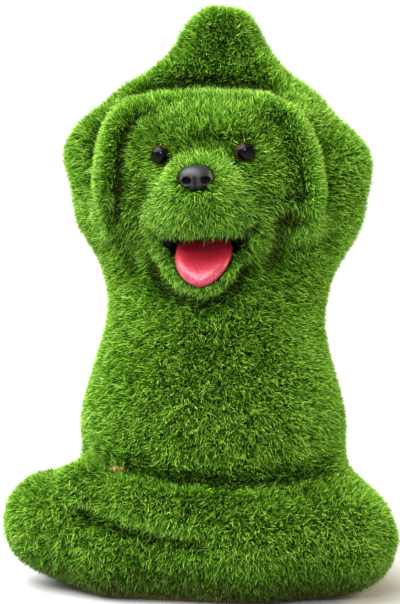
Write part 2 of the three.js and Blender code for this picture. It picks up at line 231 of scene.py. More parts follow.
solids = {name: node.data for name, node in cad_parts.items()}
form = remeshed("form", [solids[n] for n in ("body", "eye_left", "eye_right", "nose")], CELL)
tip_edges, tip_triangles = edges_of(form), triangles_of(form)
rough = points_of(form)
grounded = rough[:, 2] < GROUND_BAND


def hollows(points, normals):
    """How far each point lies below the mean of its surroundings. On the ground it is 0."""
    below = ((evened(points, tip_edges, CREASE_REACH) - points) * normals).sum(1)
    below[grounded] = 0
    return below


tips_at = evened(rough, tip_edges, 3)
tip_normals = normals_of(tips_at, tip_triangles)
hollow = hollows(tips_at, tip_normals)
depth = np.clip(hollow * CREASE_GAIN, 0, CREASE_LIMIT)
depth = evened(depth[:, None], tip_edges, 2)
tips_at = tips_at - tip_normals * depth
tips_at[:, 2] = np.where(grounded, 0, np.maximum(tips_at[:, 2], 0))
tip_normals = normals_of(evened(tips_at, tip_edges, 2), tip_triangles)
print(len(tips_at), "points; the deepest crease is", round(depth.max() / MM, 1), "mm deeper")

# %% [markdown]
# ## Folds of the carving
# The sculptor has cut folds that the plain solid only hints at: behind each ear flap, round
# the muzzle, over the eyes, under the chin and along the crossed legs. Each fold is a line
# drawn over the picture. A ray from the camera through each of its pixels finds the surface,
# and the surface is pushed in along that line, or raised where the depth is negative.
# The push fades like a bell curve, so a fold has no hard edges and reads as soft from any side.

# %% Folds
FOLDS = {
    # name: (depth in mm, half width in mm, pixels along the line)
    "behind left ear flap": (4.4, 3.2, ((150, 104), (135, 115), (125, 131), (120, 150), (118, 175),
                                        (117, 203), (112, 236))),
    "left ear edge": (-1.6, 3.5, ((128, 101), (112, 116), (104, 134), (101, 160), (101, 190),
                                  (102, 215), (107, 232))),
    "left ear to arm": (3.4, 3.8, ((108, 108), (95, 126), (90, 150), (88, 180), (90, 205), (97, 238))),
    "right brow hollow": (3.6, 6.5, ((268, 108), (280, 120), (289, 140), (296, 165), (299, 190),
                                     (300, 214))),
    "right ear edge": (-2.0, 3.5, ((285, 105), (298, 117), (308, 134), (314, 152), (318, 172),
                                   (320, 190), (318, 212))),
    "right ear to arm": (3.2, 4.0, ((305, 108), (318, 126), (326, 148), (331, 170), (332, 195),
                                    (328, 220))),
    "under right ear": (3.4, 5.0, ((284, 222), (300, 226), (316, 224))),
    "under left ear": (2.6, 4.0, ((94, 250), (110, 247), (124, 240))),
    "crown": (4.4, 4.8, ((124, 94), (150, 83), (180, 79), (215, 78), (250, 80), (278, 88), (300, 100))),
    "crown edge": (-1.6, 4.0, ((140, 101), (165, 95), (215, 91), (255, 94), (282, 104))),
    "between the wrists": (2.6, 7.0, ((222, 30), (222, 56), (222, 84))),
    "between the paws": (2.4, 2.2, ((226, 9), (226, 14), (226, 26))),
    "left paw tip": (-4.8, 6.0, ((203, 16), (208, 12), (215, 11))),
    "right paw tip": (-3.6, 4.8, ((236, 11), (241, 13), (247, 18))),
    "paw tops": (-1.6, 6.0, ((204, 15), (222, 13), (240, 16))),
    "left of the paws": (2.6, 5.0, ((189, 30), (183, 38), (177, 49))),
    "right of the paws": (2.8, 5.0, ((256, 30), (262, 38), (268, 49))),
    "below the nose": (1.2, 4.0, ((197, 204), (198, 220), (200, 234))),
    "over the muzzle": (1.7, 5.0, ((164, 166), (172, 154), (182, 145), (196, 139), (210, 138),
                                   (226, 142), (237, 154), (243, 168))),
    "over left eye": (2.6, 4.8, ((148, 152), (157, 142), (170, 143))),
    "over right eye": (2.8, 5.0, ((224, 140), (234, 136), (246, 135), (258, 143))),
    "left of the muzzle": (1.0, 5.5, ((164, 168), (152, 182), (142, 196), (133, 214), (128, 234))),
    "muzzle edge": (-0.5, 5.0, ((174, 164), (163, 180), (153, 195), (146, 212), (143, 228))),
    "right of the muzzle": (1.8, 5.5, ((243, 172), (254, 186), (264, 202), (272, 216))),
    "right jowl": (3.0, 5.0, ((284, 212), (286, 232), (280, 252), (268, 270))),
    "left jowl": (2.6, 5.0, ((120, 244), (127, 262), (138, 278))),
    "round the chin": (6.2, 4.4, ((146, 262), (155, 282), (172, 299), (200, 308), (226, 301),
                                  (244, 284), (256, 262))),
    "chin edge": (-1.8, 3.2, ((165, 262), (173, 280), (187, 293), (202, 297), (217, 292), (230, 278),
                              (240, 260))),
    "left corner of the mouth": (2.8, 2.0, ((150, 237), (160, 242), (172, 248))),
    "right corner of the mouth": (3.4, 2.0, ((264, 223), (256, 230), (245, 238))),
    "right cheek at the lip": (-2.8, 2.8, ((257, 238), (251, 244), (246, 251), (242, 258))),
    "left lower lip": (-1.3, 3.0, ((150, 250), (160, 258), (168, 270), (178, 282))),
    "right lower lip": (-2.0, 3.0, ((258, 240), (248, 252), (240, 265), (229, 279))),
    "under the nose": (-1.6, 3.5, ((184, 194), (196, 199), (209, 195))),
    "muzzle by the left eye": (-2.4, 3.0, ((166, 166), (172, 160), (180, 153))),
    "under the paw": (3.8, 4.2, ((70, 511), (97, 522), (126, 533), (151, 541), (178, 547), (208, 550))),
    "top of the foot": (-2.8, 7.0, ((108, 483), (140, 489), (175, 496), (208, 500))),
    "torso to legs": (1.8, 6.0, ((112, 470), (150, 476), (190, 480), (230, 482), (270, 480),
                                 (305, 473), (336, 458))),
    "leg tops": (-1.4, 4.0, ((60, 470), (90, 464), (130, 478), (180, 490), (230, 492), (280, 489),
                             (320, 480))),
}
PATH_STEP = 1.5
FOLD_END = 14


def along_line(pixels):
    """Places along a line of pixels, PATH_STEP apart, with its corners rounded."""
    corners = np.array(pixels, float)
    lengths = np.concatenate([[0], np.cumsum(np.linalg.norm(np.diff(corners, axis=0), axis=1))])
    stops = np.linspace(0, lengths[-1], max(3, int(lengths[-1] / PATH_STEP)))
    line = np.stack([np.interp(stops, lengths, corners[:, k]) for k in (0, 1)], 1)
    for _ in range(12):
        line[1:-1] = (line[:-2] + 2 * line[1:-1] + line[2:]) / 4
    return line


def seen_at(pixel, tree):
    """The point of a surface that shows at a pixel, or None."""
    ray = (in_view_plane(*pixel) - camera.location).normalized()
    return tree.ray_cast(camera.location, ray)[0]


plain_tree = tree_of(tips_at, tip_triangles)
push = np.zeros(len(tips_at))
for name, (deep, half_width, pixels) in FOLDS.items():
    line = along_line(pixels)
    from_end = np.minimum(np.arange(len(line)), np.arange(len(line))[::-1]) * PATH_STEP
    strength = np.clip((from_end + 1) / FOLD_END, 0, 1) ** 0.7
    found = [(seen_at(pixel, plain_tree), share) for pixel, share in zip(line, strength)]
    places = np.array([p for p, _ in found if p is not None])
    strength = np.array([share for p, share in found if p is not None])
    low, high = places.min(0) - 3 * half_width * MM, places.max(0) + 3 * half_width * MM
    near = np.flatnonzero(((tips_at > low) & (tips_at < high)).all(1))
    away = np.linalg.norm(tips_at[near][:, None] - places[None], axis=2)
    push[near] += deep * MM * (strength * np.exp(-((away / (half_width * MM)) ** 2))).max(1)
push[grounded] = 0
tips_at = tips_at - tip_normals * push[:, None]
tips_at[:, 2] = np.maximum(tips_at[:, 2], 0)
tips_at = np.where(grounded[:, None], tips_at, evened(tips_at, tip_edges, 1))
tip_normals = normals_of(evened(tips_at, tip_edges, 2), tip_triangles)
hollow = hollows(tips_at, tip_normals)
print(len(FOLDS), "folds; the deepest is", round(push.max() / MM, 1), "mm")

# %% [markdown]
# ## Where the mouth is
# No grass grows in the mouth, which is painted black. A point of the surface lies in it when
# it is near the tongue and something faces it: a line straight out from it soon meets the
# tongue or the other side of the mouth. Each corner of the mouth is a thin black wedge of
# painted shade, a line drawn over the picture that widens towards the tongue.

# %% Mouth
MOUTH_CORNERS = (((147, 235), (160, 241), (173, 248)), ((261, 226), (251, 232), (238, 241)))
CORNER_WIDTH, CORNER_POINT = 2.2 * MM, 0.35
MOUTH_MARGIN = np.array((13, 14, 9)) * MM
MOUTH_SPAN = 22 * MM
UNDER_LIP = 3 * MM
SLIT = 3.2 * MM

tongue_points = points_of(solids["tongue"])
tongue_low, tongue_high = tongue_points.min(0), tongue_points.max(0)
round_mouth = np.concatenate([tips_at, tongue_points])
round_mouth_tree = tree_of(
    round_mouth,
    np.concatenate([tip_triangles, triangles_of(solids["tongue"]) + len(tips_at)]),
)
near_tongue = (
    (tips_at > tongue_low - MOUTH_MARGIN) & (tips_at < tongue_high + MOUTH_MARGIN)
).all(1)
in_mouth = np.zeros(len(tips_at))
for i in np.flatnonzero(near_tongue):
    start = Vector(tips_at[i] + tip_normals[i] * 0.3 * MM)
    hit = round_mouth_tree.ray_cast(start, Vector(tip_normals[i]), MOUTH_SPAN)
    in_mouth[i] = hit[0] is not None and hit[3] > SLIT
mouth_share = evened(in_mouth[:, None], tip_edges, 3)[:, 0]
corner_places, corner_widths = [], []
for pixels in MOUTH_CORNERS:
    line = along_line(pixels)
    for k, pixel in enumerate(line):
        place = seen_at(pixel, plain_tree)
        if place is not None:
            corner_places.append(place)
            widening = CORNER_POINT + (1 - CORNER_POINT) * k / len(line)
            corner_widths.append(CORNER_WIDTH * widening)
corner_places, corner_widths = np.array(corner_places), np.array(corner_widths)
to_corner = np.linalg.norm(tips_at[:, None] - corner_places[None], axis=2) - corner_widths
# In the corners of the mouth the black is painted shade.
black_share = np.maximum(mouth_share, to_corner.min(1) < 1 * MM)
print(int(in_mouth.sum()), "points line the mouth")

# %% [markdown]
# ## Materials
# Colours are given as hex values, as a paint chart gives them, and one function turns them to
# the linear values that the shader needs. A second sets or links the inputs of a node, and a
# third adds a node, so that every material below reads from top to bottom.

# %% Material helpers
def linear(code):
    """An sRGB hex colour as linear red, green, blue and alpha."""
    shares = [int(code[k:k + 2], 16) / 255 for k in (1, 3, 5)]
    return [s / 12.92 if s <= 0.04045 else ((s + 0.055) / 1.055) ** 2.4 for s in shares] + [1.0]


def set_inputs(tree, node, inputs):
    """Sets each input to a plain value, or links it where the value is another node's output."""
    for name, value in inputs.items():
        if isinstance(value, bpy.types.NodeSocket):
            tree.links.new(value, node.inputs[name])
        else:
            node.inputs[name].default_value = value


def add_node(tree, kind, inputs=None, stops=None, **settings):
    """Adds a node with its inputs, the stops of its colour ramp and its settings."""
    node = tree.nodes.new(kind)
    for name, value in settings.items():
        setattr(node, name, value)
    set_inputs(tree, node, inputs or {})
    for k, (place, code) in enumerate(stops or ()):
        bar = node.color_ramp
        stop = bar.elements[k] if k < len(bar.elements) else bar.elements.new(place)
        stop.position, stop.color = place, linear(code)
    return node


def new_material(name):
    """An empty material, its node tree and its main shader."""
    material = bpy.data.materials.new(name)
    material.use_nodes = True
    tree = material.node_tree
    return material, tree, tree.nodes["Principled BSDF"]


# %% [markdown]
# ## Plastic grass
# The blades are cut from extruded polyethylene, which is a little waxy: a broad, weak shine
# and an index of refraction near 1.5. Each blade is painted dark at the root, where its neighbours
# shade it, and lime at the tip; the palest tips are partly painted highlight. The dye also differs from
# blade to blade.
# Both run along the blade's own map: its u is the blade's tint and its v runs from root to
# tip. The map is shared by all blades, so one small picture could hold every colour of them.

# %% Grass material
POLYETHYLENE_IOR = 1.5
grass_material, tree, shader = new_material("polyethylene grass")
blade_map = add_node(tree, "ShaderNodeUVMap", uv_map="OFBake")
axes = add_node(tree, "ShaderNodeSeparateXYZ", {"Vector": blade_map.outputs["UV"]})
tint, along = axes.outputs["X"], axes.outputs["Y"]
TINT_STOPS = (0.0, 0.25, 0.6, 1.0)
# Each row runs from root to tip: the dark roots are painted shade, and the pale, whitish tips of the
# last row are partly painted highlight.
BLADE_COLOURS = (
    ((0.0, "#0c0c00"), (0.4, "#221c02"), (0.75, "#4a3e12"), (1.0, "#807042")),
    ((0.0, "#042000"), (0.4, "#124200"), (0.75, "#387008"), (1.0, "#70a040")),
    ((0.0, "#062c00"), (0.4, "#226800"), (0.75, "#72b41a"), (1.0, "#a4d05a")),
    ((0.0, "#0a3400"), (0.4, "#3e8200"), (0.75, "#aad23a"), (1.0, "#d2e69c")),
)
mixed = None
for k, stops in enumerate(BLADE_COLOURS):
    dye_and_painted_shade = add_node(tree, "ShaderNodeValToRGB", {"Fac": along}, stops).outputs[0]
    if mixed:
        share = add_node(tree, "ShaderNodeMapRange", {
            "Value": tint, "From Min": TINT_STOPS[k - 1], "From Max": TINT_STOPS[k]})
        dye_and_painted_shade = add_node(tree, "ShaderNodeMix", {0: share.outputs[0], 6: mixed, 7: dye_and_painted_shade},
                        data_type="RGBA").outputs[2]
    mixed = dye_and_painted_shade
set_inputs(tree, shader, {
    "Base Color": mixed, "Roughness": 0.5, "IOR": POLYETHYLENE_IOR, "Specular IOR Level": 0.2})

# %% [markdown]
# ## The casting under the grass
# The resin casting is seen in three places only: between the roots, in the mouth and where
# the figure stands. It is the tip surface moved in by the pile of the grass. It keeps its
# place on the ground, and moves in only a little in the mouth.
# The maker sprays it dark green before flocking, so that thin spots don't show, and paints
# the mouth black; in the corners of the mouth that black is painted shade. The underside stays
# bare, a tan polyester resin with a fine mottle.

# %% Casting materials
MOTTLE = 3 * MM


def mottled_paint(name, dark, light, roughness, specular=0.5):
    """A sprayed coat that is a little darker and lighter in spots a few millimetres wide."""
    paint, tree, shader = new_material(name)
    speck = add_node(tree, "ShaderNodeTexNoise", {"Scale": 1 / MOTTLE, "Detail": 3.0})
    coat = add_node(tree, "ShaderNodeValToRGB", {"Fac": speck.outputs["Fac"]}, stops=(
        (0.3, dark), (0.7, light)))
    set_inputs(tree, shader, {
        "Base Color": coat.outputs[0], "Roughness": roughness, "Specular IOR Level": specular})
    return paint


undercoat = mottled_paint("sprayed green undercoat", "#061400", "#0c2600", 0.9, 0.15)
# The black of the mouth, which in its corners is painted shade.
mouth_paint_and_corner_shade = mottled_paint("matt black mouth paint and painted corner shade", "#0a0907", "#171310", 0.55)

bare_resin, tree, shader = new_material("bare polyester resin")
place = add_node(tree, "ShaderNodeTexCoord")
speck = add_node(tree, "ShaderNodeTexNoise", {
    "Vector": place.outputs["Object"], "Scale": 1 / MOTTLE, "Detail": 5.0, "Roughness": 0.6})
cast = add_node(tree, "ShaderNodeValToRGB", {"Fac": speck.outputs["Fac"]}, stops=(
    (0.3, "#8f5a36"), (0.55, "#aa7450"), (0.75, "#bd8c6a")))
grain = add_node(tree, "ShaderNodeBump", {
    "Height": speck.outputs["Fac"], "Strength": 0.35, "Distance": 0.3 * MM})
set_inputs(tree, shader, {
    "Base Color": cast.outputs[0], "Normal": grain.outputs[0], "Roughness": 0.7, "IOR": 1.55})

# %% Casting
PILE = 4.6 * MM
MOUTH_PILE = 1.0 * MM

pile_at = PILE + (MOUTH_PILE - PILE) * np.clip(mouth_share * 1.5, 0, 1)
level_normals = tip_normals.copy()
level_normals[grounded, 2] = 0
casting_points = tips_at - level_normals * pile_at[:, None]
casting_points[grounded, 2] = 0
casting_points[~grounded, 2] = np.maximum(casting_points[~grounded, 2], 0.3 * MM)
casting_points = np.where(grounded[:, None], casting_points, evened(casting_points, tip_edges, 2))
form.vertices.foreach_set("co", casting_points.astype(np.float32).ravel())
new_piece("casting", form, undercoat, ["body"])
form.materials.append(mouth_paint_and_corner_shade)
form.materials.append(bare_resin)
corners = np.empty(len(form.loops), np.int32)
form.loops.foreach_get("vertex_index", corners)
first_corner = np.empty(len(form.polygons), np.int32)
form.polygons.foreach_get("loop_start", first_corner)
face_corner = corners[first_corner]
paint_index = np.where(grounded[face_corner], 2, np.where(black_share[face_corner] > 0.3, 1, 0))
form.polygons.foreach_set("material_index", paint_index.astype(np.int32))
smooth(form)
form.update()
print("The casting has", len(form.polygons), "faces")

# %% [markdown]
# ## Glass eyes
# A toy maker's eye is a drop of clear glass over a painted back: a wide black pupil in a
# narrow brown iris. Seen through the dome, the iris is a thin amber ring at the edge.
# The dome is turned as a profile round the eye's own axis. The largest flat face of the CAD
# eye is its back, so that face's normal gives the axis.

# %% Eyes
EYE_SHARE = 0.93
PUPIL_OFF = 0.05
EYE_TURNS = 72
EYE_RINGS = 22


def axis_of(mesh):
    """The way a turned solid faces: away from the largest flat face that it has."""
    points, triangles = points_of(mesh), triangles_of(mesh)
    a, b, c = (points[triangles[:, k]] for k in range(3))
    faces = np.cross(b - a, c - a)
    same = np.round(unit(faces), 2)
    directions, index = np.unique(same, axis=0, return_inverse=True)
    total = np.bincount(index.ravel(), np.linalg.norm(faces, axis=1), len(directions))
    back = unit(directions[total.argmax()])
    return -back


def turned(name, axis, profile, turns, centre):
    """A closed mesh of revolution. The profile is (radius, height) from the back to the front."""
    axis = unit(np.array(axis, float))
    side = unit(np.cross(axis, (0.0, 0.0, 1.0)))
    up = np.cross(side, axis)
    angles = np.arange(turns) * 2 * math.pi / turns
    spokes = np.cos(angles)[:, None] * side + np.sin(angles)[:, None] * up
    rings = [centre + axis * height + spokes * radius for radius, height in profile[1:-1]]
    points = [centre + axis * profile[0][1], *np.concatenate(rings), centre + axis * profile[-1][1]]
    last = len(points) - 1
    faces = []
    for k in range(turns):
        after = (k + 1) % turns
        faces.append((0, 1 + k, 1 + after))
        for ring in range(len(rings) - 1):
            low, high = 1 + ring * turns, 1 + (ring + 1) * turns
            faces.append((low + after, low + k, high + k, high + after))
        top = 1 + (len(rings) - 1) * turns
        faces.append((last, top + after, top + k))
    mesh = bpy.data.meshes.new(name)
    mesh.from_pydata([tuple(p) for p in points], [], faces)
    return mesh


def from_line(points, start, axis):
    """How far each point is from the line through a start along an axis."""
    out = points - start
    return np.linalg.norm(out - (out @ axis)[:, None] * axis, axis=1)


eye_glass, tree, shader = new_material("domed eye glass")
eye_rings = add_node(tree, "ShaderNodeUVMap", uv_map="rings")
out_from_pupil = add_node(tree, "ShaderNodeSeparateXYZ", {"Vector": eye_rings.outputs["UV"]})
iris = add_node(tree, "ShaderNodeValToRGB", {"Fac": out_from_pupil.outputs["X"]}, stops=(
    (0.0, "#020203"), (0.80, "#030304"), (0.86, "#24130a"), (0.91, "#5e3a22"),
    (0.96, "#3c2415"), (1.0, "#120a06")))
set_inputs(tree, shader, {
    "Base Color": iris.outputs[0], "Roughness": 0.16, "IOR": 1.5, "Specular IOR Level": 0.12})

eyes, hard_meshes = {}, []
for name in ("eye_left", "eye_right"):
    points = points_of(solids[name])
    gaze = axis_of(solids[name])
    heights = points @ gaze
    flat_middle = points[heights < heights.min() + 0.05 * MM].mean(0)
    from_gaze = from_line(points, flat_middle, gaze)
    radius = from_gaze.max()
    length = heights.max() - heights.min()
    widest = points[from_gaze > radius * 0.98]
    shank = ((widest - flat_middle) @ gaze).max()
    radius *= EYE_SHARE
    profile = [(0, 0), (radius * 0.8, 0), (radius * 0.8, shank * 0.6), (radius * 0.97, shank * 0.8)]
    for k in range(EYE_RINGS):
        turn = k / EYE_RINGS * math.pi / 2
        profile.append((radius * math.cos(turn), shank + (length - shank) * math.sin(turn)))
    profile.append((0, length))
    mesh = turned(name, gaze, profile, EYE_TURNS, flat_middle)
    pupil_at = flat_middle + (across_axis + up_axis) * PUPIL_OFF * radius
    from_pupil = from_line(points_of(mesh), pupil_at, gaze) / (radius * (1 + PUPIL_OFF))
    point_map(mesh, "rings", np.clip(from_pupil, 0, 1))
    smooth(mesh)
    new_piece("glass_" + name, mesh, eye_glass, [name])
    hard_meshes.append(mesh)
    eyes[name] = (flat_middle + gaze * shank, gaze, radius)
    print(name, "is", round(2 * radius / MM, 1), "mm across and looks", np.round(gaze, 2))

# %% [markdown]
# ## The nose
# The nose is cast apart in satin black vinyl and glued in. It is broad on top and narrow
# below, with two round nostrils and a groove between them. Each nostril has a raised wing round
# its outer side, and a slit behind the wing.
# A grid of rings round the tip of the nose is pushed in and out by simple functions, as a
# thumb would in wax. A sculpting brush could do the same, but a function can be read again.

# %% Nose
NOSE_RINGS, NOSE_TURNS = 56, 160
NOSTRIL_DEPTH = 3.8 * MM
GROOVE_DEPTH = 1.0 * MM
NOSTRIL_AT, NOSTRIL_SIZE = (0.50, 0.03), (0.27, 0.28)
WING_AT, WING_LIFT = 1.32, 0.70 * MM
SLIT_AT, SLIT_DEEP = 1.85, 1.5 * MM
CHIN_SHARE = 0.84
PATTERN_OFF = 0.09
NOSE_TIP_SHARE = 0.62
PEBBLE = 0.7 * MM


def fade(value, start, end):
    """Runs smoothly from 0 at start to 1 at end."""
    share = np.clip((value - start) / (end - start), 0, 1)
    return share * share * (3 - 2 * share)


def powered(values, power):
    return np.sign(values) * np.abs(values) ** power


nose_axes = np.stack([across_axis, forward_axis, up_axis])
local = points_of(solids["nose"]) @ nose_axes.T
low, high = local.min(0), local.max(0)
half_width, half_height = (high[0] - low[0]) / 2, (high[2] - low[2]) / 2
nose_length = high[1] - low[1]
centre_local = np.array(((low[0] + high[0]) / 2, low[1], (low[2] + high[2]) / 2))
tip_length = nose_length * NOSE_TIP_SHARE

turn = np.arange(NOSE_TURNS) * 2 * math.pi / NOSE_TURNS
rim_x = powered(np.cos(turn), 0.9)
rim_z = powered(np.sin(turn), 0.9)
rim_x = rim_x * (1 - 0.42 * np.clip(-rim_z, 0, 1) ** 1.4)
rim_z = np.where(rim_z < 0, rim_z * CHIN_SHARE, rim_z)
grid = []
for ring in range(1, NOSE_RINGS + 1):
    share = ring / NOSE_RINGS
    out_share = math.sin(share * math.pi / 2) ** 0.92
    grid.append(np.stack([
        rim_x * out_share,
        np.full(NOSE_TURNS, math.cos(share * math.pi / 2) ** 0.8),
        rim_z * out_share,
    ], 1))
grid = np.array(grid)


def nose_relief(x, z):
    """How far the front of the nose is pushed in, in metres."""
    x = x - PATTERN_OFF
    dx, dz = (np.abs(x) - NOSTRIL_AT[0]) / NOSTRIL_SIZE[0], (z - NOSTRIL_AT[1]) / NOSTRIL_SIZE[1]
    pit = np.hypot(dx, dz)
    wing = fade((dx - 0.8 * dz) / np.maximum(pit, 1e-6), 0.1, 1.0)
    pushed = NOSTRIL_DEPTH * (1 - fade(pit, 0.6, 1.1))
    pushed -= WING_LIFT * wing * np.exp(-(((pit - WING_AT) / 0.2) ** 2))
    pushed += SLIT_DEEP * wing * np.exp(-(((pit - SLIT_AT) / 0.24) ** 2))
    groove = np.exp(-(((x + 0.03) / 0.07) ** 2)) * (1 - fade(z, 0.1, 0.4))
    return pushed + GROOVE_DEPTH * groove


relief = nose_relief(grid[..., 0], grid[..., 2])
front = np.empty_like(grid)
front[..., 0] = grid[..., 0] * half_width
front[..., 1] = nose_length - tip_length + grid[..., 1] * tip_length - relief
front[..., 2] = grid[..., 2] * half_height
back = front[-1].copy()
back[:, 1] = 0
back[:, (0, 2)] *= 0.7
tip = np.array([[0, nose_length - nose_relief(np.zeros(1), np.zeros(1))[0], 0]])
stack = np.concatenate([tip, front.reshape(-1, 3), back, [[0, 0, 0]]])
world = (stack + centre_local) @ nose_axes
faces = [(0, 1 + k, 1 + (k + 1) % NOSE_TURNS) for k in range(NOSE_TURNS)]
for ring in range(NOSE_RINGS):
    inner, outer = 1 + ring * NOSE_TURNS, 1 + (ring + 1) * NOSE_TURNS
    for k in range(NOSE_TURNS):
        after = (k + 1) % NOSE_TURNS
        faces.append((inner + after, inner + k, outer + k, outer + after))
last_ring = 1 + NOSE_RINGS * NOSE_TURNS
for k in range(NOSE_TURNS):
    faces.append((len(stack) - 1, last_ring + (k + 1) % NOSE_TURNS, last_ring + k))
nose_mesh = bpy.data.meshes.new("nose")
nose_mesh.from_pydata(world.tolist(), [], faces)
smooth(nose_mesh)
# Painted shade: darker the deeper a nostril goes, and on the lower part and the sides of the nose.
pit_and_shade_share = np.zeros(len(stack))
shaded = 0.5 * fade(-grid[..., 2], 0.25, 0.75) + 0.25 * fade(np.abs(grid[..., 0]), 0.75, 1.0)
pit_and_shade_share[1:1 + relief.size] = np.clip(relief / NOSTRIL_DEPTH + shaded, 0, 1).ravel()
point_map(nose_mesh, "pits", pit_and_shade_share)

nose_vinyl, tree, shader = new_material("satin black vinyl")
place = add_node(tree, "ShaderNodeTexCoord")
pebble = add_node(tree, "ShaderNodeTexVoronoi", {
    "Vector": place.outputs["Object"], "Scale": 1 / PEBBLE})
leather = add_node(tree, "ShaderNodeBump", {
    "Height": pebble.outputs["Distance"], "Strength": 0.12, "Distance": 0.15 * MM})
pits = add_node(tree, "ShaderNodeUVMap", uv_map="pits")
in_pit_and_shade = add_node(tree, "ShaderNodeSeparateXYZ", {"Vector": pits.outputs["UV"]})
# Black vinyl, darker where the map carries painted shade.
dye_and_painted_shade = add_node(tree, "ShaderNodeValToRGB", {"Fac": in_pit_and_shade.outputs["X"]}, stops=(
    (0.0, "#101015"), (0.3, "#0b0b0e"), (0.55, "#010101")))
dull = add_node(tree, "ShaderNodeMapRange", {
    "Value": in_pit_and_shade.outputs["X"], "From Min": 0.2, "From Max": 0.6, "To Min": 0.46, "To Max": 0.95})
set_inputs(tree, shader, {
    "Base Color": dye_and_painted_shade.outputs[0], "Roughness": dull.outputs[0], "Normal": leather.outputs[0],
    "IOR": 1.53, "Specular IOR Level": 0.36})
new_piece("vinyl_nose", nose_mesh, nose_vinyl, ["nose"])
hard_meshes.append(nose_mesh)
print("The nose is", round(2 * half_width / MM, 1), "by", round(2 * half_height / MM, 1), "mm")

# %% [markdown]
# ## The tongue
# The tongue is a cast slip of resin under two coats of pink enamel, wet-looking and dished
# like a spoon. It is painted deeper red at the back, as painted shade under the upper lip, and
# pale in mottled patches near the tip, as painted highlight; the tip is rounded off. Its mesh
# starts from the CAD tongue, remeshed finely and evened, so it lies just where the CAD puts it.
# The dish is pressed into its upper face along the tongue's own directions, which the spread of its
# points gives.

# %% Tongue
TONGUE_CELL = 0.75 * MM
TONGUE_ROUND = 25 * MM
TONGUE_SPREAD = 4.0
DISH_DEPTH = 1.4 * MM
RIPPLE = 1.6 * MM

tongue_mesh = remeshed("tongue", [solids["tongue"]], TONGUE_CELL)
points, edges, triangles = points_of(tongue_mesh), edges_of(tongue_mesh), triangles_of(tongue_mesh)
points = evened(points, edges, 14)
centre = points.mean(0)
spread = np.linalg.eigh(np.cov((points - centre).T))[1]
upper = spread[:, 0] * (1 if spread[2, 0] > 0 else -1)
aside = across_axis
toward_tip = unit(np.cross(aside, upper))
toward_tip = toward_tip if toward_tip[2] < 0 else -toward_tip
along_tongue, across_tongue = (points - centre) @ toward_tip, (points - centre) @ aside
marks = np.linspace(along_tongue.min(), along_tongue.max(), 40)
widths = np.array([np.abs(across_tongue[np.abs(along_tongue - m) < 1.0 * MM]).max() for m in marks])
past_round = np.clip(1 - (marks[-1] - marks) / TONGUE_ROUND, 0, 1)
rounded = widths.max() * (1 - past_round ** 2.6) ** 0.5
change = np.clip(rounded / widths, 0, np.where(past_round > 0, TONGUE_SPREAD, 1))
points += (across_tongue * (np.interp(along_tongue, marks, change) - 1))[:, None] * aside
flat = np.stack([(points - centre) @ aside, (points - centre) @ toward_tip], 1)
flat_size = np.abs(flat).max(0)
from_middle = np.linalg.norm((flat - (0, -0.15 * flat_size[1])) / flat_size, axis=1)
normals = normals_of(points, triangles)
facing_up = fade(normals @ upper, 0.1, 0.7)
points -= upper * (DISH_DEPTH * facing_up * (1 - fade(from_middle, 0.1, 0.85)))[:, None]
points = evened(points, edges, 4)
tongue_mesh.vertices.foreach_set("co", points.astype(np.float32).ravel())
smooth(tongue_mesh)

tongue_enamel, tree, shader = new_material("gloss pink enamel")
place = add_node(tree, "ShaderNodeTexCoord")
heights = add_node(tree, "ShaderNodeSeparateXYZ", {"Vector": place.outputs["Object"]})
up_share = add_node(tree, "ShaderNodeMapRange", {
    "Value": heights.outputs["Z"], "From Min": float(tongue_low[2]), "From Max": float(tongue_high[2])})
# Deeper red at the back: painted shade under the upper lip.
coats_and_painted_shade = add_node(tree, "ShaderNodeValToRGB", {"Fac": up_share.outputs[0]}, stops=(
    (0.0, "#8e1c36"), (0.2, "#a01e3a"), (0.4, "#a41c34"), (0.65, "#a8182a"), (0.95, "#78101c")))
ripple = add_node(tree, "ShaderNodeTexNoise", {
    "Vector": place.outputs["Object"], "Scale": 1 / RIPPLE, "Detail": 3.0})
brushed = add_node(tree, "ShaderNodeBump", {
    "Height": ripple.outputs["Fac"], "Strength": 0.4, "Distance": 0.35 * MM})
# Pale mottled patches in the lower third: painted highlight.
highlight_band = add_node(tree, "ShaderNodeValToRGB", {"Fac": up_share.outputs[0]}, stops=(
    (0.08, "#000000"), (0.24, "#a0a0a0"), (0.4, "#606060"), (0.6, "#000000")))
highlight_mottle = add_node(tree, "ShaderNodeMapRange", {
    "Value": ripple.outputs["Fac"], "From Min": 0.45, "From Max": 0.65})
painted_highlight_share = add_node(tree, "ShaderNodeMath", {0: highlight_band.outputs[0], 1: highlight_mottle.outputs[0]},
                   operation="MULTIPLY")
coat_with_painted_highlight = add_node(tree, "ShaderNodeMix", {
    0: painted_highlight_share.outputs[0], 6: coats_and_painted_shade.outputs[0], 7: linear("#d884a0")}, data_type="RGBA")
set_inputs(tree, shader, {
    "Base Color": coat_with_painted_highlight.outputs[2], "Normal": brushed.outputs[0], "Roughness": 0.48,
    "IOR": 1.5, "Coat Weight": 0.25, "Coat Roughness": 0.34})
new_piece("enamel_tongue", tongue_mesh, tongue_enamel, ["tongue"])
hard_meshes.append(tongue_mesh)
tongue_tree = tree_of(points, triangles)
print("The tongue has", len(tongue_mesh.polygons), "faces")

# %% [markdown]
# ## A worn spot
# On the paw that lies on top the flock has rubbed off a spot the size of a lentil, and the
# tan resin shows. The spot is found by looking from the camera through one pixel of the
# picture. It is a low dome of resin just under the tips, and no blade grows on it.

# %% Worn spot
WORN_PIXEL = (117, 466)
WORN_RADIUS = 3.0 * MM
WORN_FLATNESS = 0.55
WORN_SUNK = 1.9 * MM
WORN_SPREAD, WORN_DOME, WORN_RINGS = 1.3, 1.2 * MM, 8

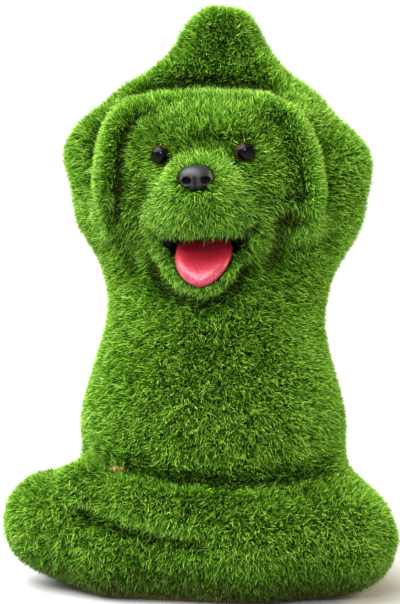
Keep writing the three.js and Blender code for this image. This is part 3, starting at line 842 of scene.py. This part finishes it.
tip_tree = tree_of(tips_at, tip_triangles)
through = in_view_plane(*WORN_PIXEL) - camera.location
worn_at, worn_normal = tip_tree.ray_cast(camera.location, through.normalized())[:2]
worn_at, worn_normal = np.array(worn_at), np.array(worn_normal)
worn_top = worn_at - worn_normal * WORN_SUNK
worn_profile = [(0, -PILE), (WORN_RADIUS * WORN_SPREAD, -PILE)]
for k in range(WORN_RINGS):
    lift = k / WORN_RINGS * math.pi / 2
    out, down = WORN_RADIUS * WORN_SPREAD * math.cos(lift) ** 0.8, WORN_DOME * (1 - math.sin(lift))
    worn_profile.append((out, -down))
worn_profile.append((0, 0))
worn_mesh = turned("worn_spot", worn_normal, worn_profile, 40, worn_top)
worn_rise = np.cross(unit(np.cross(worn_normal, (0.0, 0.0, 1.0))), worn_normal)
points = points_of(worn_mesh)
points -= ((points - worn_at) @ worn_rise * (1 - WORN_FLATNESS))[:, None] * worn_rise
worn_mesh.vertices.foreach_set("co", points.astype(np.float32).ravel())
smooth(worn_mesh)
new_piece("worn_spot", worn_mesh, bare_resin)
print("The worn spot is at", np.round(worn_at / MM), "mm")

# %% [markdown]
# ## Growing the grass
# A particle system would be the usual way, but particles are not meshes, and they are lost
# when the model is exported. So each blade is a real mesh: a slim diamond of two triangles,
# folded a little across its widest part. It takes four points.
# The tips are strewn evenly over the tip surface, and each root is found by going back down
# the blade. That gives the figure its true outline, whatever the blades do below it.

# %% Strewing
BLADES = 400_000
BRIGHT_SHARE = 0.30
BARE_FROM = 0.2, 0.45  # share of the mouth, over the tongue and beside it
dice = np.random.default_rng(11)

a, b, c = (tips_at[tip_triangles[:, k]] for k in range(3))
areas = np.linalg.norm(np.cross(b - a, c - a), axis=1) / 2
in_mouth_by = mouth_share[tip_triangles].mean(1)
over_tongue = tips_at[tip_triangles].mean(1)[:, 2] > tongue_high[2] - UNDER_LIP
bare = grounded[tip_triangles].all(1) | (in_mouth_by > np.where(over_tongue, *BARE_FROM))
areas[bare] = 0
running = np.cumsum(areas)
picks = (np.arange(BLADES) + dice.random(BLADES)) / BLADES * running[-1]
chosen = np.searchsorted(running, picks)
first, second = dice.random((2, BLADES))
turned_over = first + second > 1
first, second = np.where(turned_over, 1 - first, first), np.where(turned_over, 1 - second, second)
shares = np.stack([1 - first - second, first, second], 1)
tips = (tips_at[tip_triangles[chosen]] * shares[..., None]).sum(1)
outward = unit((tip_normals[tip_triangles[chosen]] * shares[..., None]).sum(1))
bright = dice.random(BLADES) < BRIGHT_SHARE
crease = (hollow[tip_triangles[chosen]] * shares).sum(1)
lip = (evened(in_mouth[:, None], tip_edges, 16)[:, 0][tip_triangles[chosen]] * shares).sum(1)
print(round(BLADES / (running[-1] / MM ** 2), 1), "blades on a square millimetre")

# %% [markdown]
# ## Combing
# The flock leans. On the face it runs away from the nose, and round each eye and the tongue
# it stands back a little. On the body it runs away from the chest, down over the legs and up
# the arms. The fringe of the upper lip hangs down over the tongue.
# Small tufts lean together, because the glue holds some blades in clumps: a smooth random field
# a few millimetres wide gives the tufts, and a finer one ruffles single blades.

# %% Comb
HEART = np.array((0, 0, 0.165))
FACE_MIDDLE, FACE_SIZE = np.array((0, -0.014, 0.197)), np.array((0.064, 0.046, 0.058))
TUFT, RUFFLE = 5 * MM, 2.2 * MM
TUFT_LEAN, RUFFLE_LEAN, BLADE_LEAN, BRIGHT_LEAN = 0.12, 0.20, 0.30, 0.40
COMB_LEAN, FACE_LEAN, DROOP = 0.16, 0.50, 0.12
MOST_LEAN = 1.35
LIP_HANGS = np.array((0, -0.25, -1.3))


def drift(points, size, seed):
    """A smooth random vector at each point. It changes over about the given size."""
    count = 32
    lattice = np.random.default_rng(seed).normal(size=(count, count, count, 3))
    cell = points / size
    low = np.floor(cell).astype(int)
    share = cell - low
    share = share * share * (3 - 2 * share)
    total = np.zeros(points.shape)
    for corner in np.ndindex(2, 2, 2):
        weight = np.where(np.array(corner), share, 1 - share).prod(1)
        index = (low + corner) % count
        total += weight[:, None] * lattice[index[:, 0], index[:, 1], index[:, 2]]
    return total


def along_surface(vectors, normals):
    return unit(vectors - (vectors * normals).sum(1)[:, None] * normals)


on_face = 1 - fade(np.linalg.norm((tips - FACE_MIDDLE) / FACE_SIZE, axis=1), 0.85, 1.1)
nose_at = np.array(middle("nose"))
tongue_at = np.array(middle("tongue"))
lean = along_surface(tips - HEART, outward) * (COMB_LEAN * (1 - on_face))[:, None]
lean += along_surface(tips - nose_at, outward) * (FACE_LEAN * on_face)[:, None]
lean[:, 2] -= DROOP
for point, reach, strength in (
    *((place, 5.0 * MM, 1.3) for place, _, _ in eyes.values()),
    (worn_at, 2.5 * MM, 1.2),
):
    away = tips - point
    clearance = np.linalg.norm(away, axis=1)
    pushed_back = strength * np.exp(-((clearance / reach / 1.6) ** 2))
    lean += along_surface(away, outward) * pushed_back[:, None]
lean += TUFT_LEAN * drift(tips, TUFT, 1) + RUFFLE_LEAN * drift(tips, RUFFLE, 2)
lean += np.where(bright, BRIGHT_LEAN, BLADE_LEAN)[:, None] * dice.normal(size=lean.shape)
upper_lip = fade(lip, 0.03, 0.25) * (tips[:, 2] > tongue_high[2] - UNDER_LIP)
lean = lean * (1 - upper_lip[:, None]) + LIP_HANGS * upper_lip[:, None]
lean -= (lean * outward).sum(1)[:, None] * outward
reach = np.linalg.norm(lean, axis=1)
lean *= (np.minimum(reach, MOST_LEAN) / np.maximum(reach, 1e-9))[:, None]

# %% [markdown]
# ## Blades
# A blade goes from its root, through its widest point, to its tip, and curls towards the way
# it leans. Tips differ in height by half a millimetre or so, bright blades are longer, and a
# few stray ones stand proud and break up the outline.
# A glued-in eye or nose never sits in a neat hole: some blades lie over its rim. Those tips are
# drawn over the rim here, and others over the edge of the tongue and off the upper lip.

# %% Blade shapes
BLADE_WIDTH = 0.34 * MM
TIP_SPREAD = 0.5 * MM
BRIGHT_WIDER, BRIGHT_PROUD = 1.1, 1.0 * MM
LIP_FRINGE = 2.0 * MM
CHIN_FRINGE = 9 * MM
EDGE_FRINGE = 2.8 * MM
HARD_GAP, HARD_REACH = 0.5 * MM, 15 * MM
RIM_SHARE = 0.3, 0.2, 0.5  # of the blades round the left eye, the right eye and the nose
RIM_OVER = 0.8 * MM, 0.7 * MM, 1.8 * MM
RIM_ROOT, RIM_RISE = 3.2 * MM, 1.1 * MM
ROOT_LEAN, CURL = 0.75, 0.10
STRAY_SHARE, STRAY_LENGTH = 0.05, 1.4 * MM
WIDEST_AT = 0.45
FLOOR_GAP = 0.15 * MM

on_hard = np.zeros(BLADES, bool)
for name in ("eye_left", "eye_right", "nose"):
    solid_tree = tree_of(points_of(solids[name]), triangles_of(solids[name]))
    near = np.flatnonzero(np.linalg.norm(tips - np.array(middle(name)), axis=1) < HARD_REACH)
    on_hard[near] |= [solid_tree.find_nearest(Vector(tips[i]), HARD_GAP)[0] is not None for i in near]
proud = dice.normal(-0.5 * MM, TIP_SPREAD, BLADES) + bright * BRIGHT_PROUD
proud += np.where(dice.random(BLADES) < STRAY_SHARE, dice.random(BLADES) * STRAY_LENGTH, 0)
proud = np.minimum(proud, 2 * MM)
tips = tips + outward * proud[:, None]
roots = tips - (outward + lean * ROOT_LEAN) * PILE
fringe = upper_lip * LIP_FRINGE * dice.uniform(0.1, 1, BLADES) ** 1.5
tips = tips + np.array((0, -0.35, -1.0)) * fringe[:, None]
pulls = 1 - dice.random(BLADES) ** 2
for i in np.flatnonzero((lip > 0.01) & (upper_lip < 0.3)):
    place, normal, _, away = tongue_tree.find_nearest(Vector(tips[i]), CHIN_FRINGE)
    if place is not None:
        goal = np.array(place + normal * 0.4 * MM)
        tips[i] += (goal - tips[i]) * pulls[i] * (1 - away / CHIN_FRINGE) ** 0.4
for mesh, over, share in zip(hard_meshes, RIM_OVER, RIM_SHARE):
    ends = points_of(mesh)
    piece_tree, piece_middle = tree_of(ends, triangles_of(mesh)), ends.mean(0)
    around = np.abs(tips - piece_middle).max(1) < np.ptp(ends, axis=0).max() / 2 + EDGE_FRINGE
    for i in np.flatnonzero(around & (pulls < share)):
        place, normal, _, away = piece_tree.find_nearest(Vector(tips[i]), EDGE_FRINGE)
        if place is None:
            continue
        to_middle = unit(piece_middle - np.array(place))
        to_middle = unit(to_middle - (to_middle @ outward[i]) * outward[i])
        under = fade(to_middle @ up_axis, 0.2, 0.8) if mesh == nose_mesh else 1
        roots[i] = tips[i] - outward[i] * PILE * 0.4 - to_middle * RIM_ROOT
        tips[i] = np.array(place) + outward[i] * RIM_RISE + to_middle * over * under * dice.random()
belly = roots + (tips - roots) * WIDEST_AT + outward * (CURL * PILE) - lean * (CURL * PILE)
for places in (tips, belly, roots):
    places[:, 2] = np.maximum(places[:, 2], FLOOR_GAP)
spin = dice.normal(size=(BLADES, 3))
sideways = unit(np.cross(tips - roots, spin))
half_widths = BLADE_WIDTH / 2 * dice.uniform(0.75, 1.25, BLADES) * np.where(bright, BRIGHT_WIDER, 0.9)

# %% [markdown]
# ## Blades that would cross something hard
# A blade may hang in front of the tongue or stand beside an eye, but none goes through them.
# Each blade near the face is tried as a line from root to tip against the hard pieces. If it
# meets one it is set upright, and if it still does it is left out.
# Left out too are the blades whose tips would show before the middle of an eye or the nose,
# those on the worn spot and those in the corners of the mouth.

# %% Clearing
CLEAR_REACH = 9 * MM
CLEAR_SHARE = 0.8
NOSE_RAISED = 0.2
MOUTH_REACH = 35 * MM

hard_points, hard_triangles, count = [], [], 0
for mesh in hard_meshes:
    hard_points.append(points_of(mesh))
    hard_triangles.append(triangles_of(mesh) + count)
    count += len(hard_points[-1])
hard_points, hard_triangles = np.concatenate(hard_points), np.concatenate(hard_triangles)
hard_tree = tree_of(hard_points, hard_triangles)
keep = ~on_hard
hard_low, hard_high = hard_points.min(0) - CLEAR_REACH, hard_points.max(0) + CLEAR_REACH
close = ((tips > hard_low) & (tips < hard_high)).all(1)


def crosses(root, tip):
    """Whether a blade goes through a hard piece, or starts inside one."""
    blade = tip - root
    if hard_tree.ray_cast(root, blade.normalized(), blade.length)[0] is not None:
        return True
    place, normal = hard_tree.find_nearest(root, CLEAR_REACH)[:2]
    return place is not None and (root - place).dot(normal) < 0


raised = 0
for i in np.flatnonzero(close):
    tip = Vector(tips[i])
    if not crosses(Vector(roots[i]), tip):
        continue
    upright = tips[i] - outward[i] * PILE
    if crosses(Vector(upright), tip):
        keep[i] = False
        continue
    roots[i], belly[i] = upright, upright + outward[i] * PILE * WIDEST_AT
    raised += 1
nose_middle = np.array(middle("nose") + head_up * NOSE_RAISED * half_height)
rounds = [(*eye, 1.0) for eye in eyes.values()]
rounds.append((nose_middle, forward_axis, half_height, half_height / half_width))
for place, facing, radius, squash in rounds:
    off = tips - place
    before = off @ facing
    sidelong = off @ across_axis
    from_axis = off - before[:, None] * facing - (sidelong * (1 - squash))[:, None] * across_axis
    keep &= (np.linalg.norm(from_axis, axis=1) > CLEAR_SHARE * radius) | (before < -CLEAR_REACH)
from_worn = tips - worn_at
from_worn += (from_worn @ worn_rise * (1 / WORN_FLATNESS - 1))[:, None] * worn_rise
keep &= np.linalg.norm(from_worn, axis=1) > WORN_RADIUS * dice.uniform(0.95, 1.15, BLADES)
by_mouth = np.flatnonzero(np.linalg.norm(tips - tongue_at, axis=1) < MOUTH_REACH)
from_corners = np.linalg.norm(tips[by_mouth][:, None] - corner_places[None], axis=2)
keep[by_mouth] &= (from_corners > corner_widths).all(1)
print(raised, "blades set upright")
print(int((~keep).sum()), "blades left out, and", int(keep.sum()), "kept")

# %% [markdown]
# ## Tints
# Most blades are a fresh green. The dye varies from blade to blade and in soft patches two
# centimetres wide. Near the ground the blades are olive-brown and darker: soil, and painted
# shade. Painted shade also darkens the blades below the nose, those along the fold under the
# top paw and, most of all, those in the creases, and painted light brightens the ridges a little.
# The fringe of the upper lip is darker too.

# %% Tints
MEAN_TINT, TINT_VARIES, BRIGHTER = 0.46, 0.19, 0.36
PATCH, PATCH_VARIES = 20 * MM, 0.04
# Near the ground: olive-brown soil, and painted shade.
GROUND_SOIL_AND_SHADE, GROUND_SOIL_AND_SHADE_BAND = 0.62, 32 * MM
# Painted shade in the creases and painted light on the ridges.
CREASE_PAINTED_SHADE, RIDGE_PAINTED_LIGHT = 0.34, 0.04
LIP_DARKER = 0.15
# Painted shade on the face below the nose.
CHIN_PAINTED_SHADE, CHIN_SHADE_BAND = 0.19, 14 * MM
# Painted shade along the fold under the top paw.
PAINTED_SHADE_LINES = (
    # (darker by, half width, pixels along the line)
    (0.26, 4.0 * MM, ((84, 500), (110, 512), (140, 524), (170, 533), (200, 538))),
    (0.16, 5.0 * MM, ((92, 530), (130, 544), (165, 553))),
)
tints = MEAN_TINT + TINT_VARIES * dice.normal(size=BLADES)
tints = tints + PATCH_VARIES * drift(tips, PATCH, 3)[:, 0] + BRIGHTER * bright
# Soil and painted shade near the ground.
tints -= GROUND_SOIL_AND_SHADE * (1 - fade(tips[:, 2], 0, GROUND_SOIL_AND_SHADE_BAND))
# Painted shade in the creases, painted light on the ridges.
tints -= CREASE_PAINTED_SHADE * fade(crease, 0.15 * MM, 1.5 * MM)
tints += RIDGE_PAINTED_LIGHT * fade(-crease, 0.2 * MM, 1.2 * MM)
tints -= LIP_DARKER * upper_lip
# Painted shade below the nose.
tints -= CHIN_PAINTED_SHADE * on_face * fade(nose_at[2] - tips[:, 2], 0, CHIN_SHADE_BAND)
# Painted shade along the fold under the top paw.
for strength, reach, pixels in PAINTED_SHADE_LINES:
    seen = [seen_at(pixel, tip_tree) for pixel in along_line(pixels)]
    places = np.array([place for place in seen if place is not None])
    low, high = places.min(0) - 2 * reach, places.max(0) + 2 * reach
    near = np.flatnonzero(((tips > low) & (tips < high)).all(1))
    away = np.linalg.norm(tips[near][:, None] - places[None], axis=2).min(1)
    tints[near] -= strength * np.exp(-((away / reach) ** 2))
tints = np.clip(tints, 0.02, 0.98)

# %% [markdown]
# ## The grass as pieces
# One mesh of every blade would be too heavy to handle, so they are shared out by where they
# grow, at most 95,000 to a piece. All the pieces share one material.

# %% Grass pieces
TINT_WIDTH = 0.012
PIECE_LIMIT = 95_000
ARMS_FROM, LEGS_TO, LEGS_BACK_FROM = 150 * MM, 66 * MM, -5 * MM


def blade_mesh(name, picked):
    """A mesh of the picked blades, with the map that holds their tint and length."""
    count = len(picked)
    side = sideways[picked] * half_widths[picked][:, None]
    quads = np.stack([roots[picked], belly[picked] + side, belly[picked] - side, tips[picked]], 1)
    mesh = bpy.data.meshes.new(name)
    mesh.vertices.add(4 * count)
    mesh.vertices.foreach_set("co", quads.astype(np.float32).ravel())
    corners = (np.arange(count)[:, None] * 4 + np.array((0, 1, 2, 2, 1, 3))).ravel()
    mesh.loops.add(6 * count)
    mesh.loops.foreach_set("vertex_index", corners.astype(np.int32))
    mesh.polygons.add(2 * count)
    mesh.polygons.foreach_set("loop_start", np.arange(0, 6 * count, 3, dtype=np.int32))
    mesh.update(calc_edges=True)
    tint, off = tints[picked], np.full(count, TINT_WIDTH)
    root_map = np.stack([tint, np.zeros(count)], 1)
    one_map = np.stack([tint + off, np.full(count, WIDEST_AT)], 1)
    other_map = np.stack([tint - off, np.full(count, WIDEST_AT)], 1)
    tip_map = np.stack([tint, np.ones(count)], 1)
    pairs = np.stack([root_map, one_map, other_map, other_map, one_map, tip_map], 1)
    layer = mesh.uv_layers.new(name="OFBake")
    layer.data.foreach_set("uv", pairs.astype(np.float32).ravel())
    return mesh


face_blades = keep & (on_face > 0.5)
zones = {
    "grass_face": face_blades,
    "grass_arms": keep & ~face_blades & (tips[:, 2] > ARMS_FROM),
    "grass_torso": keep & ~face_blades & (tips[:, 2] <= ARMS_FROM) & (tips[:, 2] > LEGS_TO),
    "grass_legs_front": keep & (tips[:, 2] <= LEGS_TO) & (tips[:, 1] < LEGS_BACK_FROM),
    "grass_legs_back": keep & (tips[:, 2] <= LEGS_TO) & (tips[:, 1] >= LEGS_BACK_FROM),
}
total = 0
for name, chosen_blades in zones.items():
    picked = np.flatnonzero(chosen_blades)
    for part, some in enumerate(np.array_split(picked, math.ceil(len(picked) / PIECE_LIMIT))):
        full_name = f"{name}_{part + 1}"
        new_piece(full_name, blade_mesh(full_name, some), grass_material, ["body"])
        total += 2 * len(some)
        print(full_name, "has", 2 * len(some), "triangles")
print("All the grass has", total, "triangles")

# %% [markdown]
# ## Floor and light
# The figure stands on white paper in a bright room. A large soft light above it on the left
# gives it its form, and a second behind it on the right draws the yellow rim. Two weak ones
# in front fill the shade and put a glint in the eyes, and a white sky does the rest.
# The floor is so wide that its edge never shows from above.

# %% Studio
paper, tree, shader = new_material("white studio paper")
shader.inputs["Base Color"].default_value = linear("#b8b8b6")
shader.inputs["Roughness"].default_value = 0.9
floor_mesh = bpy.data.meshes.new("floor")
FLOOR = 12
floor_corners = [(x * FLOOR, y * FLOOR, 0) for x, y in ((-1, -1), (1, -1), (1, 1), (-1, 1))]
floor_mesh.from_pydata(floor_corners, [], [(0, 1, 2, 3)])
floor_mesh.materials.append(paper)
floor = bpy.data.objects.new("floor", floor_mesh)
bpy.context.scene.collection.objects.link(floor)


def soft_light(name, place, size, watts, colour="#ffffff"):
    """A square light that faces the middle of the figure."""
    data = bpy.data.lights.new(name, "AREA")
    data.size, data.energy, data.color = size, watts, linear(colour)[:3]
    light = bpy.data.objects.new(name, data)
    bpy.context.scene.collection.objects.link(light)
    light.location = place
    light.rotation_euler = (Vector(place) - AIM).to_track_quat("Z", "Y").to_euler()


SUN_FROM, SUN_SPREAD, SUN_STRENGTH = Vector((-0.76, -0.02, 0.95)), math.radians(60), 6.5
sky_light = bpy.data.lights.new("window", "SUN")
sky_light.angle, sky_light.energy = SUN_SPREAD, SUN_STRENGTH
window = bpy.data.objects.new("window", sky_light)
bpy.context.scene.collection.objects.link(window)
window.rotation_euler = SUN_FROM.to_track_quat("Z", "Y").to_euler()
soft_light("rim", (0.95, 0.45, 0.45), 0.5, 13, "#fff0b8")
soft_light("overhead", (-0.25, -0.55, 1.10), 0.8, 14)
soft_light("glint", (0.05, -1.0, 0.80), 0.16, 5)

world = bpy.data.worlds.new("white room")
world.use_nodes = True
sky = world.node_tree
direction = add_node(sky, "ShaderNodeTexCoord")
upward = add_node(sky, "ShaderNodeSeparateXYZ", {"Vector": direction.outputs["Generated"]})
room = add_node(sky, "ShaderNodeValToRGB", {"Fac": upward.outputs["Z"]}, stops=(
    (0.10, "#ffffff"), (0.30, "#a8a8a8"), (0.60, "#bcbcbc"), (0.95, "#ffffff")))
sky.links.new(room.outputs[0], sky.nodes["Background"].inputs["Color"])
sky.nodes["Background"].inputs["Strength"].default_value = 1.0
bpy.context.scene.world = world
bpy.context.scene.view_settings.view_transform = "Standard"
